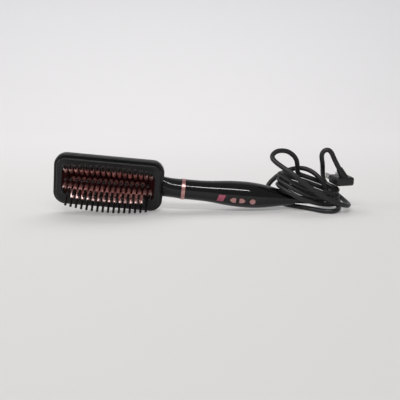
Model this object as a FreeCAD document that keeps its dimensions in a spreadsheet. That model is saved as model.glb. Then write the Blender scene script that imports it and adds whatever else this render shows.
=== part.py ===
"""Heated styling brush, lying on its side as it was put down, with its cord bundled at the tail.

Millimetres, +Z up, floor at Z = 0, head at -X, cord at +X, bristles towards -Y.
The pieces are drawn in the brush's own frame: X along the handle from the middle of the trim ring,
-Y out of the bristle face, Z across the paddle. One shared placement then lays them on the floor.
"""
import FreeCAD, Part
import math
import os
import re
import Sketcher
from FreeCAD import Placement, Rotation, Vector

doc = FreeCAD.newDocument("heated_styling_brush")
sheet = doc.addObject("Spreadsheet::Sheet", "sizes")

# Driving dimensions, in millimetres and degrees
SIZES = {
    # how it lies
    "lean_angle": 18.5,
    "head_turn_back": 10.5,
    "slope_angle": 5.8,
    # shared fits
    "overrun": 1.0,
    "slip_fit": 0.15,
    "running_fit": 0.05,
    "wire_radius": 0.7,
    "wire_spread": 5.0,
    # head
    "head_length": 125.0,
    "head_width": 60.0,
    "head_lift": 0.6,
    "head_corner": 14.0,
    "head_back_depth": 8.8,
    "head_back_round": 6.0,
    "head_back_wall": 2.0,
    "rim_front": 4.2,
    "rim_round": 1.6,
    "rim_wall": 2.2,
    "ledge_front": 1.0,
    "ledge_wall": 4.0,
    # front frame
    "frame_inset": 3.6,
    "frame_front": 9.4,
    "frame_step": 3.5,
    "frame_round": 1.6,
    # heater plate and its teeth
    "frame_end_margin": 10.3,
    "frame_side_margin": 14.5,
    "plate_corner": 6.0,
    "plate_recess": 1.0,
    "plate_boss_thickness": 1.6,
    "plate_flange_thickness": 2.0,
    "plate_flange_lip": 2.2,
    "plate_gap": 0.3,
    "tooth_margin": 4.2,
    "tooth_root_radius": 2.0,
    "tooth_end_radius": 1.6,
    "tooth_length": 12.5,
    "tooth_eye_width": 2.1,
    "tooth_eye_length": 4.6,
    "tooth_eye_place": 4.6,
    "tooth_fan": 36.0,
    "tooth_sink": 1.6,
    "tip_length": 11.9,
    "tip_root_radius": 1.25,
    "tip_end_radius": 0.95,
    "tip_ball_radius": 1.5,
    "tip_fall": 5.5,
    # behind the plate
    "heater_width": 16.0,
    "heater_thickness": 2.5,
    "heater_gap": 6.0,
    "heater_clearance": 3.0,
    "clamp_margin": 4.2,
    "clamp_width": 24.0,
    "clamp_thickness": 1.0,
    "clamp_post_radius": 3.0,
    "clamp_post_inset": 3.0,
    "insulator_margin": 6.0,
    "insulator_width": 22.0,
    "insulator_thickness": 0.5,
    "fuse_radius": 2.0,
    "fuse_length": 14.0,
    "fuse_place": 14.0,
    "sensor_radius": 1.4,
    "sensor_length": 6.0,
    "sensor_place": 20.0,
    "screw_radius": 1.2,
    "screw_head_radius": 2.3,
    "screw_head_height": 1.5,
    # neck and ring
    "neck_length": 21.0,
    "neck_root_inset": 5.0,
    "neck_root_across": 12.6,
    "neck_root_deep": 6.0,
    "neck_radius": 11.7,
    "neck_passage_radius": 4.2,
    "neck_passage_back": 2.2,
    "ring_width": 4.0,
    "ring_proud": 0.4,
    "coupler_wall": 1.5,
    "coupler_neck_reach": 6.0,
    "coupler_handle_reach": 10.0,
    # handle
    "handle_length": 127.0,
    "handle_wall": 1.6,
    "belly_radius": 15.25,
    "tail_radius": 7.2,
    "tail_wall": 3.0,
    "tail_slope": 10.8,
    "straight_share": 0.08,
    "belly_share": 0.551,
    # display and buttons
    "window_share": 0.3465,
    "window_length": 7.5,
    "window_width": 8.6,
    "window_slant": 2.4,
    "minus_share": 0.452,
    "plus_share": 0.54,
    "power_share": 0.633,
    "arrow_spacing": 4.0,
    "arrow_width": 5.8,
    "arrow_point": 2.9,
    "power_radius": 3.3,
    "button_face": 16.0,
    "button_flange_lip": 0.9,
    "button_flange_front": 12.2,
    "button_flange_thickness": 0.8,
    "button_gap": 0.25,
    "button_travel": 0.6,
    "switch_play": 0.05,
    # board
    "board_start_share": 0.2913,
    "board_length_share": 0.488,
    "board_width": 15.0,
    "board_thickness": 1.6,
    "board_front": 7.2,
    "board_post_radius": 2.4,
    "board_post_inset": 5.0,
    "switch_size": 6.0,
    "switch_height": 2.6,
    "plunger_radius": 1.7,
    "display_length": 7.0,
    "display_width": 8.0,
    "display_front": 10.4,
    # swivel and boot
    "swivel_neck_radius": 5.0,
    "swivel_flange_radius": 6.0,
    "swivel_flange_thickness": 2.0,
    "swivel_play": 0.1,
    "swivel_collar_radius": 6.6,
    "swivel_collar_length": 3.0,
    "boot_length": 24.0,
    "boot_end_radius": 3.9,
    # cord and plug
    "cord_diameter": 5.6,
    "cord_start_gap": 0.3,
    "bundle_unit": 10.0,
    "lead_run": 12.6,
    "hank_left_of_exit": 8.0,
    "hank_half_length": 40.0,
    "hank_half_width": 18.0,
    "hank_height": 15.6,
    "hank_slope": 18.0,
    "hank_pitch": 6.4,
    "hank_shrink": 1.0,
    "hank_narrow": 0.8,
    "loops_run": 11.0,
    "plug_length": 24.0,
    "plug_width": 22.0,
    "plug_thickness": 10.0,
    "plug_round": 2.5,
    "plug_tilt": 3.0,
    "plug_turn": 80.0,
    "plug_boot_inset": 6.5,
    "plug_boot_length": 11.0,
    "plug_boot_root": 5.0,
    "plug_boot_end": 3.7,
    "blade_length": 16.0,
    "blade_width": 6.3,
    "blade_thickness": 1.5,
    "blade_spacing": 12.7,
}
# Teeth of each row from the top row down, and the rows whose outer pair are plain guard pins
ROW_COUNTS = [17, 16, 17, 16]
GUARDED_ROW_NUMBERS = (1, 3)

# Sizes that follow from others, so that the pieces keep together
FOLLOWING = {
    "plate_length": "head_length - 2*frame_end_margin",
    "plate_width": "head_width - 2*frame_side_margin",
    "tooth_pitch": f"(plate_length - 2*tooth_margin)/{max(ROW_COUNTS) - 1}",
    "row_pitch": f"(plate_width - 2*tooth_margin)/{len(ROW_COUNTS) - 1}",
    "clamp_length": "plate_length - 2*clamp_margin",
    "clamp_post_spacing": "clamp_length - 2*clamp_post_inset",
    "insulator_length": "clamp_length - 2*insulator_margin",
    "heater_length": "(clamp_post_spacing - heater_gap)/2 - clamp_post_radius - heater_clearance",
    "heater_spacing": "heater_length + heater_gap",
    "window_place": "handle_length*window_share",
    "minus_place": "handle_length*minus_share",
    "plus_place": "handle_length*plus_share",
    "power_place": "handle_length*power_share",
    "arrow_length": "plus_place - minus_place - arrow_spacing",
    "board_start": "handle_length*board_start_share",
    "board_length": "handle_length*board_length_share",
}
CONTENTS = SIZES | {alias: f"={formula}" for alias, formula in FOLLOWING.items()}
for row, (alias, content) in enumerate(CONTENTS.items(), start=1):
    sheet.set(f"A{row}", alias)
    sheet.set(f"B{row}", str(content))
    sheet.setAlias(f"B{row}", alias)
doc.recompute()


def cells(text):
    """Turns the plain size names of an expression into references to the sheet."""
    return re.sub(r"[a-z]\w+", lambda word: f"sizes.{word.group()}", text)


def value(text):
    """Gives the number that an expression of size names stands for."""
    return float(sheet.evalExpression(cells(text)))


def box(name, x_span, y_span, z_span):
    """Makes a box between pairs of expressions along X, Y and Z."""
    piece = doc.addObject("Part::Box", name)
    for side, axis, (low, high) in zip(("Length", "Width", "Height"), "xyz", (x_span, y_span, z_span)):
        piece.setExpression(side, cells(f"({high}) - ({low})"))
        piece.setExpression(f"Placement.Base.{axis}", cells(low))
    return piece


def rod(name, radius, x_span, y="0", z="0", end_radius=None):
    """Makes a cylinder or cone along X."""
    piece = doc.addObject("Part::Cone" if end_radius else "Part::Cylinder", name)
    if end_radius:
        piece.setExpression("Radius1", cells(radius))
        piece.setExpression("Radius2", cells(end_radius))
    else:
        piece.setExpression("Radius", cells(radius))
    low, high = x_span
    piece.setExpression("Height", cells(f"({high}) - ({low})"))
    piece.Placement = Placement(Vector(), Rotation(Vector(0, 1, 0), 90))
    for axis, place in zip("xyz", (low, y, z)):
        piece.setExpression(f"Placement.Base.{axis}", cells(place))
    return piece


def peg(name, radius, x, y_span, z="0"):
    """Makes a cylinder along Y, from its front to its back."""
    piece = doc.addObject("Part::Cylinder", name)
    low, high = y_span
    piece.setExpression("Radius", cells(radius))
    piece.setExpression("Height", cells(f"({high}) - ({low})"))
    piece.Placement = Placement(Vector(), Rotation(Vector(1, 0, 0), -90))
    for axis, place in zip("xyz", (x, low, z)):
        piece.setExpression(f"Placement.Base.{axis}", cells(place))
    return piece


def outline_pad(name, corners, y_span, round_radius=None):
    """Pads a polygon, whose corners are pairs of expressions in X and Z, from its front to its back."""
    body = doc.addObject("PartDesign::Body", name)
    plane = next(item for item in body.Origin.OriginFeatures if item.Role == "XZ_Plane")
    drawing = body.newObject("Sketcher::SketchObject", f"{name}_outline")
    drawing.AttachmentSupport = (plane, [""])
    drawing.MapMode = "FlatFace"
    front, back = y_span
    drawing.setExpression("AttachmentOffset.Base.z", cells(f"-({front})"))
    places = [Vector(value(x), value(z), 0) for x, z in corners]
    count = len(places)
    for k in range(count):
        drawing.addGeometry(Part.LineSegment(places[k], places[(k + 1) % count]))
    for k in range(count):
        drawing.addConstraint(Sketcher.Constraint("Coincident", k, 2, (k + 1) % count, 1))
    for k, corner in enumerate(corners):
        for kind, text, place in zip(("DistanceX", "DistanceY"), corner, places[k]):
            index = drawing.addConstraint(Sketcher.Constraint(kind, -1, 1, k, 1, place))
            drawing.setExpression(f"Constraints[{index}]", cells(text))
    pad = body.newObject("PartDesign::Pad", f"{name}_pad")
    pad.Profile = drawing
    pad.Reversed = True
    pad.setExpression("Length", cells(f"({back}) - ({front})"))
    doc.recompute()
    if round_radius:
        standing = [f"Edge{k}" for k, edge in enumerate(pad.Shape.Edges, start=1)
                    if abs(edge.tangentAt(edge.FirstParameter).y) > 0.99]
        round_edges(body, pad, standing, round_radius)
    return body


def round_edges(body, base, edge_names, radius):
    """Adds a fillet to the named edges of a body's last feature."""
    fillet = body.newObject("PartDesign::Fillet", f"{body.Name}_round_{len(body.Group)}")
    fillet.Base = (base, edge_names)
    fillet.setExpression("Radius", cells(radius))
    doc.recompute()
    return fillet


def face_edges(shape, y):
    """Names the edges that lie wholly in the plane at this Y."""
    return [f"Edge{k}" for k, edge in enumerate(shape.Edges, start=1)
            if abs(edge.BoundBox.YMin - y) < 1e-4 and abs(edge.BoundBox.YMax - y) < 1e-4]


def block(name, x_middle, length, width, y_span, corner):
    """Makes a rounded block centred across the lifted paddle."""
    x_low, x_high = f"{x_middle} - ({length})/2", f"{x_middle} + ({length})/2"
    z_low, z_high = f"head_lift - ({width})/2", f"head_lift + ({width})/2"
    corners = [(x_low, z_low), (x_high, z_low), (x_high, z_high), (x_low, z_high)]
    return outline_pad(name, corners, y_span, corner)


def join(name, *pieces):
    """Fuses pieces of one moulding."""
    fused = doc.addObject("Part::MultiFuse", name)
    fused.Shapes = list(pieces)
    return fused


def cut(name, base, *tools):
    """Cuts tools out of a base."""
    piece = doc.addObject("Part::Cut", name)
    piece.Base = base
    piece.Tool = tools[0] if len(tools) == 1 else join(f"{name}_tools", *tools)
    return piece


def common(name, *pieces):
    """Keeps what two pieces share."""
    piece = doc.addObject("Part::MultiCommon", name)
    piece.Shapes = list(pieces)
    return piece


def formed(name, shape):
    """Holds a shape made directly with Part's functions."""
    piece = doc.addObject("Part::Feature", name)
    piece.Shape = shape
    return piece


nodes = {}


def node(label, *pieces):
    """Groups a sub-part's solids under its own name."""
    group = doc.addObject("Part::Compound", f"node_{label}")
    group.Links = list(pieces)
    group.Label = label
    nodes[label] = group
    return group


# Places along the brush, as expressions of the sizes
RING_LEFT = "(-ring_width/2)"
RING_RIGHT = "(ring_width/2)"
HEAD_RIGHT = "(-ring_width/2 - neck_length)"
HEAD_MIDDLE = f"({HEAD_RIGHT} - head_length/2)"
TAIL_END = f"({RING_RIGHT} + handle_length)"
PLATE_FRONT = "(-(frame_front - plate_recess))"
PLATE_STEP = f"({PLATE_FRONT} + plate_boss_thickness)"
PLATE_BACK = f"({PLATE_STEP} + plate_flange_thickness)"
CLAMP_FRONT = f"({PLATE_BACK} + heater_thickness)"
CLAMP_BACK = f"({CLAMP_FRONT} + clamp_thickness)"
INSULATOR_BACK = f"({CLAMP_BACK} + insulator_thickness)"
BOARD_BACK = "(-board_front + board_thickness)"
BUTTON_BACK = "(-button_flange_front + button_flange_thickness)"

# Ellipses across the X axis: their long radius lies along Z
ACROSS = Rotation(Vector(0, 0, 1), Vector(0, -1, 0), Vector(1, 0, 0), "ZXY")


def hoop(name, x, y, z, across, deep):
    """Makes one elliptical section across X."""
    section = doc.addObject("Part::Ellipse", name)
    section.setExpression("MajorRadius", cells(across))
    section.setExpression("MinorRadius", cells(deep))
    section.Placement = Placement(Vector(), ACROSS)
    section.setExpression("Placement.Base.x", cells(x))
    section.setExpression("Placement.Base.y", cells(y))
    section.setExpression("Placement.Base.z", cells(z))
    return section


def skin(name, hoops):
    """Lofts a closed solid through sections."""
    loft = doc.addObject("Part::Loft", name)
    loft.Sections = hoops
    loft.Solid = True
    return loft


def head_back_shell():
    """Paddle's back cover, moulded in one with the neck."""
    outer = block("head_outer", HEAD_MIDDLE, "head_length", "head_width",
                  ("-rim_front", "head_back_depth"), "head_corner")
    back = face_edges(outer.Shape, value("head_back_depth"))
    rounded = round_edges(outer, outer.Tip, back, "head_back_round")
    round_edges(outer, rounded, face_edges(outer.Shape, value("-rim_front")), "rim_round")
    neck = skin("neck_outer", [
        hoop("neck_root", f"{HEAD_RIGHT} - neck_root_inset", "(head_back_depth - rim_front)/2", "head_lift",
             "neck_root_across", "neck_root_deep"),
        hoop("neck_middle", f"{HEAD_RIGHT} + neck_length/2", "(head_back_depth - rim_front)/6", "head_lift/4",
             "neck_radius - ring_proud", "neck_radius - ring_proud*2"),
        hoop("neck_end", RING_LEFT, "0", "0", "neck_radius", "neck_radius"),
    ])
    pocket = block("head_pocket", HEAD_MIDDLE, "head_length - 2*rim_wall", "head_width - 2*rim_wall",
                   ("-rim_front - overrun", "-ledge_front"), "head_corner - rim_wall")
    cavity = block("head_cavity", HEAD_MIDDLE, "head_length - 2*ledge_wall", "head_width - 2*ledge_wall",
                   ("-ledge_front - overrun", "head_back_depth - head_back_wall"), "head_corner - ledge_wall")
    back = face_edges(cavity.Shape, value("head_back_depth - head_back_wall"))
    round_edges(cavity, cavity.Tip, back, "head_back_round - ledge_wall")
    passage = rod("neck_passage", "neck_passage_radius",
                  (f"{HEAD_RIGHT} - 2*ledge_wall", f"{RING_LEFT} - coupler_neck_reach/2"),
                  "neck_passage_back")
    bore = rod("neck_bore", "neck_radius - handle_wall",
               (f"{RING_LEFT} - coupler_neck_reach - slip_fit", f"{RING_LEFT} + overrun"))
    moulding = join("head_moulding", outer, neck)
    node("head_back_shell", cut("head_back_cover", moulding, pocket, cavity, passage, bore))


def head_front_frame():
    """Black frame round the heater plate, seated on the back cover's ledge."""
    body = block("frame_body", HEAD_MIDDLE, "head_length - 2*frame_inset", "head_width - 2*frame_inset",
                 ("-frame_front", "-frame_step"), "head_corner - frame_inset")
    round_edges(body, body.Tip, face_edges(body.Shape, value("-frame_front")), "frame_round")
    flange = block("frame_flange", HEAD_MIDDLE, "head_length - 2*rim_wall - 2*slip_fit",
                   "head_width - 2*rim_wall - 2*slip_fit", ("-frame_step", "-ledge_front"),
                   "head_corner - rim_wall")
    window = block("frame_window", HEAD_MIDDLE, "plate_length + 2*plate_gap", "plate_width + 2*plate_gap",
                   ("-frame_front - overrun", "0"), "plate_corner")
    seat = block("frame_seat", HEAD_MIDDLE, "plate_length + 2*plate_flange_lip + 2*plate_gap",
                 "plate_width + 2*plate_flange_lip + 2*plate_gap", (PLATE_STEP, "0"), "plate_corner")
    node("head_front_frame", cut("frame", join("frame_moulding", body, flange), window, seat))


def tooth_places(row):
    """Yields X, Z, how far from the middle as a share, and whether the place takes a guard pin."""
    count = ROW_COUNTS[row]
    z = value("head_lift") + ((len(ROW_COUNTS) - 1) / 2 - row) * value("row_pitch")
    for k in range(count):
        step = k - (count - 1) / 2
        share = step / ((max(ROW_COUNTS) - 1) / 2)
        x = value(HEAD_MIDDLE) + step * value("tooth_pitch")
        yield x, z, share, row in GUARDED_ROW_NUMBERS and k in (0, count - 1)


def tooth_reach(share):
    """Tooth length at this share of the row: the rows are crowned, longest in the middle."""
    return value("tooth_length") - value("tip_fall") / 2 * share ** 2


FORWARD = Vector(0, -1, 0)
TOOTH_SIDE_COUNT = 8
TIP_SIDE_COUNT = 6
EYE_SIDE_COUNT = 6


def flat_sided(base, rings, sides):
    """Closed flat-sided solid through rings, each a distance forward of the base and a radius."""
    corners = []
    for reach, radius in rings:
        middle = base + FORWARD * reach
        turns = [2 * math.pi * (k + 0.5) / sides for k in range(sides)]
        corners.append([middle + Vector(math.cos(a), 0, math.sin(a)) * radius for a in turns])
    faces = [Part.Face(Part.makePolygon(end + end[:1])) for end in (corners[0], corners[-1])]
    for low, high in zip(corners, corners[1:]):
        for k in range(sides):
            after = (k + 1) % sides
            faces.append(Part.Face(Part.makePolygon([low[k], low[after], high[after], high[k], low[k]])))
    solid = Part.Solid(Part.Shell(faces))
    if solid.Volume < 0:
        solid.reverse()
    return solid


# Ball end of a tip: distance from its middle and radius, as shares of the ball's radius
BALL_SHARES = [(-0.45, 0.85), (0.15, 1.0), (0.7, 0.7), (1.0, 0.25)]


def tip_shape(base, length, sink=0):
    """Tapered black tip with a ball end; a pin's foot starts sunk behind its base."""
    ball = value("tip_ball_radius")
    rings = [(-sink, value("tip_root_radius")), (length - ball, value("tip_end_radius"))]
    rings += [(length + along * ball, across * ball) for along, across in BALL_SHARES]
    return flat_sided(base, rings, TIP_SIDE_COUNT)


def eye_shape(root):
    """Prism that opens a tooth's eye, long way along the tooth."""
    middle = root + FORWARD * value("tooth_eye_place")
    half_width, half_length = value("tooth_eye_width") / 2, value("tooth_eye_length") / 2
    reach = value("tooth_root_radius") * 2
    turns = [2 * math.pi * k / EYE_SIDE_COUNT for k in range(EYE_SIDE_COUNT)]
    rim = [middle + Vector(half_width * math.sin(a), half_length * math.cos(a), -reach) for a in turns]
    return Part.Face(Part.makePolygon(rim + rim[:1])).extrude(Vector(0, 0, 2 * reach))


def heater_plate():
    """Rose-gold plate that carries the teeth, with two screw posts on its back."""
    boss = block("plate_boss", HEAD_MIDDLE, "plate_length", "plate_width", (PLATE_FRONT, PLATE_STEP),
                 "plate_corner")
    flange = block("plate_flange", HEAD_MIDDLE, "plate_length + 2*plate_flange_lip",
                   "plate_width + 2*plate_flange_lip", (PLATE_STEP, PLATE_BACK), "plate_corner")
    posts = [peg(f"clamp_post_{k}", "clamp_post_radius", f"{HEAD_MIDDLE} {side} clamp_post_spacing/2",
                 (PLATE_BACK, CLAMP_FRONT), "head_lift") for k, side in enumerate("-+")]
    holes = [peg(f"clamp_post_hole_{k}", "screw_radius + running_fit",
                 f"{HEAD_MIDDLE} {side} clamp_post_spacing/2",
                 (PLATE_BACK, f"{CLAMP_FRONT} + overrun"), "head_lift") for k, side in enumerate("-+")]
    node("heater_plate", cut("plate", join("plate_casting", boss, flange, *posts), *holes))


def fanned(shape, root, row):
    """Turns a tooth or tip about its root, up in the upper rows and down in the lower ones."""
    middle = (len(ROW_COUNTS) - 1) / 2
    shape.rotate(root, Vector(1, 0, 0), (row / middle - 1) * value("tooth_fan"))
    return shape


def tooth_rows():
    """Staggered rows of eyed teeth fanning out from the plate, their black tips, and the plain guard pins."""
    guards = []
    sink = value("tooth_sink")
    behind = Part.makeBox(value("head_length"), value("head_back_depth"), value("head_width"), Vector(
        value(f"{HEAD_MIDDLE} - head_length/2"), value(PLATE_FRONT), value("head_lift - head_width/2")))
    for row in range(len(ROW_COUNTS)):
        teeth = []
        tips = []
        for x, z, share, guarded in tooth_places(row):
            root = Vector(x, value(PLATE_FRONT), z)
            length = tooth_reach(share)
            tip_length = value("tip_length") - value("tip_fall") / 2 * share ** 2
            if guarded:
                guards.append(fanned(tip_shape(root, length + tip_length, sink), root, row).cut(behind))
                continue
            rings = [(-sink, value("tooth_root_radius")), (length, value("tooth_end_radius"))]
            tooth = flat_sided(root, rings, TOOTH_SIDE_COUNT).cut(eye_shape(root))
            teeth.append(fanned(tooth, root, row).cut(behind))
            tips.append(fanned(tip_shape(root + FORWARD * length, tip_length), root, row))
        node(f"teeth_row_{row + 1}", formed(f"teeth_{row + 1}", Part.makeCompound(teeth)))
        node(f"cool_tips_{row + 1}", formed(f"tips_{row + 1}", Part.makeCompound(tips)))
    node("guard_pins", formed("pins", Part.makeCompound(guards)))


def heater_stack():
    """What heats the plate and minds its temperature, clamped against its back."""
    heaters = [box(f"heater_{k}", (f"{HEAD_MIDDLE} {side} heater_spacing/2 - heater_length/2",
                                   f"{HEAD_MIDDLE} {side} heater_spacing/2 + heater_length/2"),
                   (PLATE_BACK, CLAMP_FRONT), ("head_lift - heater_width/2", "head_lift + heater_width/2"))
               for k, side in enumerate("-+")]
    node("ptc_heaters", *heaters)
    strap = box("clamp_strap", (f"{HEAD_MIDDLE} - clamp_length/2", f"{HEAD_MIDDLE} + clamp_length/2"),
                (CLAMP_FRONT, CLAMP_BACK), ("head_lift - clamp_width/2", "head_lift + clamp_width/2"))
    places = [f"{HEAD_MIDDLE} {side} clamp_post_spacing/2" for side in "-+"]
    holes = [peg(f"clamp_hole_{k}", "screw_radius + running_fit", x,
                 (f"{CLAMP_FRONT} - overrun", f"{CLAMP_BACK} + overrun"), "head_lift")
             for k, x in enumerate(places)]
    node("heater_clamp", cut("clamp", strap, *holes))
    screws = [join(f"clamp_screw_{k}",
                   peg(f"clamp_screw_head_{k}", "screw_head_radius", x,
                       (CLAMP_BACK, f"{CLAMP_BACK} + screw_head_height"), "head_lift"),
                   peg(f"clamp_screw_shank_{k}", "screw_radius", x, (PLATE_BACK, CLAMP_BACK), "head_lift"))
              for k, x in enumerate(places)]
    node("clamp_screws", *screws)
    node("mica_insulator", box("mica", (f"{HEAD_MIDDLE} - insulator_length/2",
                                        f"{HEAD_MIDDLE} + insulator_length/2"),
                               (CLAMP_BACK, INSULATOR_BACK),
                               ("head_lift - insulator_width/2", "head_lift + insulator_width/2")))
    node("thermal_fuse", rod("fuse", "fuse_radius", (f"{HEAD_MIDDLE} + fuse_place",
                                                     f"{HEAD_MIDDLE} + fuse_place + fuse_length"),
                             f"{INSULATOR_BACK} + fuse_radius", "head_lift"))
    node("temperature_sensor", rod("sensor", "sensor_radius",
                                   (f"{HEAD_MIDDLE} - sensor_place - sensor_length",
                                    f"{HEAD_MIDDLE} - sensor_place"),
                                   f"{INSULATOR_BACK} + sensor_radius", "head_lift"))


def ring_and_coupler():
    """Rose-gold ring between neck and handle, on the sleeve that joins them."""
    band = rod("ring_band", "neck_radius + ring_proud", (RING_LEFT, RING_RIGHT))
    hole = rod("ring_hole", "neck_radius - handle_wall",
               (f"{RING_LEFT} - overrun", f"{RING_RIGHT} + overrun"))
    node("trim_ring", cut("ring", band, hole))
    reach = (f"{RING_LEFT} - coupler_neck_reach", f"{RING_RIGHT} + coupler_handle_reach")
    sleeve = rod("coupler_sleeve", "neck_radius - handle_wall - slip_fit", reach)
    inside = rod("coupler_inside", "neck_radius - handle_wall - slip_fit - coupler_wall",
                 (f"{reach[0]} - overrun", f"{reach[1]} + overrun"))
    node("neck_coupler", cut("coupler", sleeve, inside))


def handle_skin(name, wall, start, end):
    """Turns the handle's form, drawn in by a wall, between two places along it."""
    slope = math.radians(value("tail_slope"))
    tail_rise = value(f"{TAIL_END} - ({end})") * math.tan(slope)
    spots = [
        Vector(value(start), 0, value(f"neck_radius - {wall}")),
        Vector(value(f"{RING_RIGHT} + handle_length*straight_share"), 0, value(f"neck_radius - {wall}")),
        Vector(value(f"{RING_RIGHT} + handle_length*belly_share"), 0, value(f"belly_radius - {wall}")),
        Vector(value(end), 0, value(f"tail_radius - {wall}") + tail_rise),
    ]
    level = Vector(1, 0, 0)
    falling = Vector(math.cos(slope), 0, -math.sin(slope))
    edges = [Part.makeLine(spots[0], spots[1])]
    edges += biarc(spots[1], level, spots[2], level)
    edges += biarc(spots[2], level, spots[3], falling)
    foot, top = Vector(spots[3].x, 0, 0), Vector(spots[0].x, 0, 0)
    edges += [Part.makeLine(a, b) for a, b in ((spots[3], foot), (foot, top), (top, spots[0]))]
    turned = doc.addObject("Part::Revolution", name)
    turned.Source = formed(f"{name}_half", Part.Face(Part.Wire(Part.__sortEdges__(edges))))
    turned.Axis = level
    turned.Angle = 360
    return turned


def arrow_corners(x, side, gap):
    """Outline of an arrow-ended button pointing along X to this side, widened by a gap."""
    long_half, wide_half = f"(arrow_length/2 + {gap})", f"(arrow_width/2 + {gap})"
    back, tip, shoulder = (f"{x} - {side}*{long_half}", f"{x} + {side}*{long_half}",
                           f"{x} + {side}*({long_half} - arrow_point)")
    return [(back, f"-{wide_half}"), (shoulder, f"-{wide_half}"), (tip, "0"), (shoulder, wide_half),
            (back, wide_half)]


def window_corners(gap):
    """Outline of the slanted display window, widened by a gap."""
    half, tall, slant = f"(window_length/2 + {gap})", f"(window_width/2 + {gap})", "window_slant/2"
    left, right = f"window_place - {half}", f"window_place + {half}"
    return [(f"{left} - {slant}", f"-{tall}"), (f"{right} - {slant}", f"-{tall}"),
            (f"{right} + {slant}", tall), (f"{left} + {slant}", tall)]


BUTTON_REACH = ("-button_face - overrun", BUTTON_BACK)


def handle():
    """Front and rear half shells, the display window and the three buttons."""
    outer = handle_skin("handle_outer", "0", RING_RIGHT, TAIL_END)
    inner = handle_skin("handle_inner", "handle_wall", f"{RING_RIGHT} - running_fit",
                        f"{TAIL_END} - tail_wall")
    bore = rod("tail_bore", "swivel_neck_radius + running_fit",
               (f"{TAIL_END} - tail_wall - overrun", f"{TAIL_END} + overrun"))
    tube = cut("handle_tube", outer, inner, bore)
    span = (RING_RIGHT, f"{TAIL_END} + overrun")
    wide = ("-2*belly_radius", "2*belly_radius")
    front_half = box("front_half", span, ("-2*belly_radius", "0"), wide)
    rear_half = box("rear_half", span, ("0", "2*belly_radius"), wide)
    openings = [
        outline_pad("window_opening", window_corners("slip_fit"), BUTTON_REACH),
        outline_pad("minus_opening", arrow_corners("minus_place", "-1", "button_gap"), BUTTON_REACH),
        outline_pad("plus_opening", arrow_corners("plus_place", "1", "button_gap"), BUTTON_REACH),
        peg("power_opening", "power_radius + button_gap", "power_place", BUTTON_REACH),
    ]
    node("handle_front_shell", cut("front_shell", common("front_tube", tube, front_half), *openings))
    posts = [peg(f"board_post_{k}", "board_post_radius", x, (BOARD_BACK, "2*belly_radius"))
             for k, x in enumerate(BOARD_SCREW_PLACES)]
    inside_posts = common("rear_posts", join("board_posts", *posts), handle_skin(
        "handle_middle", "handle_wall/2", RING_RIGHT, TAIL_END))
    holes = [peg(f"board_post_hole_{k}", "screw_radius + running_fit", x,
                 (f"{BOARD_BACK} - overrun", f"{BOARD_BACK} + 2*screw_head_radius"))
             for k, x in enumerate(BOARD_SCREW_PLACES)]
    rear = join("rear_moulding", common("rear_tube", tube, rear_half), inside_posts)
    node("handle_rear_shell", cut("rear_shell", rear, *holes))
    lens = outline_pad("window_prism", window_corners("0"), BUTTON_REACH)
    node("display_window", common("window_lens", lens, cut("lens_tube", outer, inner)))
    stem = ("-button_face", "-button_flange_front")
    for label, x, side in (("button_minus", "minus_place", "-1"), ("button_plus", "plus_place", "1")):
        node(label, join(f"{label}_cap",
                         outline_pad(f"{label}_key", arrow_corners(x, side, "0"), stem),
                         outline_pad(f"{label}_flange", arrow_corners(x, side, "button_flange_lip"),
                                     (stem[1], BUTTON_BACK))))
    node("button_power", join("power_cap", peg("power_key", "power_radius", "power_place", stem),
                              peg("power_flange", "power_radius + button_flange_lip", "power_place",
                                  (stem[1], BUTTON_BACK))))


# The near screw sits midway between the display and the first switch
BOARD_SCREW_PLACES = ["(window_place + display_length/2 + minus_place - switch_size/2)/2",
                      "(board_start + board_length - board_post_inset)"]


def control_board():
    """Circuit board with its switches and display, screwed to the rear shell's posts."""
    slab = box("board_slab", ("board_start", "board_start + board_length"), ("-board_front", BOARD_BACK),
               ("-board_width/2", "board_width/2"))
    holes = [peg(f"board_hole_{k}", "screw_radius + running_fit", x,
                 ("-board_front - overrun", f"{BOARD_BACK} + overrun"))
             for k, x in enumerate(BOARD_SCREW_PLACES)]
    node("control_board", cut("board", slab, *holes))
    screws = [join(f"board_screw_{k}",
                   peg(f"board_screw_head_{k}", "screw_head_radius", x,
                       ("-board_front - screw_head_height", "-board_front")),
                   peg(f"board_screw_shank_{k}", "screw_radius", x,
                       ("-board_front", f"{BOARD_BACK} + screw_head_radius")))
              for k, x in enumerate(BOARD_SCREW_PLACES)]
    node("board_screws", *screws)
    switches = []
    plunger = f"({BUTTON_BACK} + button_travel + switch_play)"
    for k, x in enumerate(("minus_place", "plus_place", "power_place")):
        case = box(f"switch_case_{k}", (f"{x} - switch_size/2", f"{x} + switch_size/2"),
                   ("-board_front - switch_height", "-board_front"), ("-switch_size/2", "switch_size/2"))
        stem = peg(f"switch_stem_{k}", "plunger_radius", x, (plunger, "-board_front"))
        switches.append(join(f"switch_{k}", case, stem))
    node("tact_switches", *switches)
    node("display_module", box("display_case", ("window_place - display_length/2",
                                                "window_place + display_length/2"),
                               ("-display_front", "-board_front"),
                               ("-display_width/2", "display_width/2")))


def swivel_boot():
    """Swivel collar with its flexible boot, turning in the tail wall."""
    inside = f"({TAIL_END} - tail_wall - swivel_play)"
    outside = f"({TAIL_END} + swivel_play)"
    boot_start = f"({outside} + swivel_collar_length)"
    flange = rod("swivel_flange", "swivel_flange_radius", (f"{inside} - swivel_flange_thickness", inside))
    neck = rod("swivel_neck", "swivel_neck_radius", (inside, outside))
    collar = rod("swivel_collar", "swivel_collar_radius", (outside, boot_start))
    boot = rod("swivel_taper", "swivel_neck_radius", (boot_start, f"{boot_start} + boot_length"),
               end_radius="boot_end_radius")
    node("swivel_boot", join("swivel", flange, neck, collar, boot))
    return Vector(value(f"{boot_start} + boot_length"), 0, 0)


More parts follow.
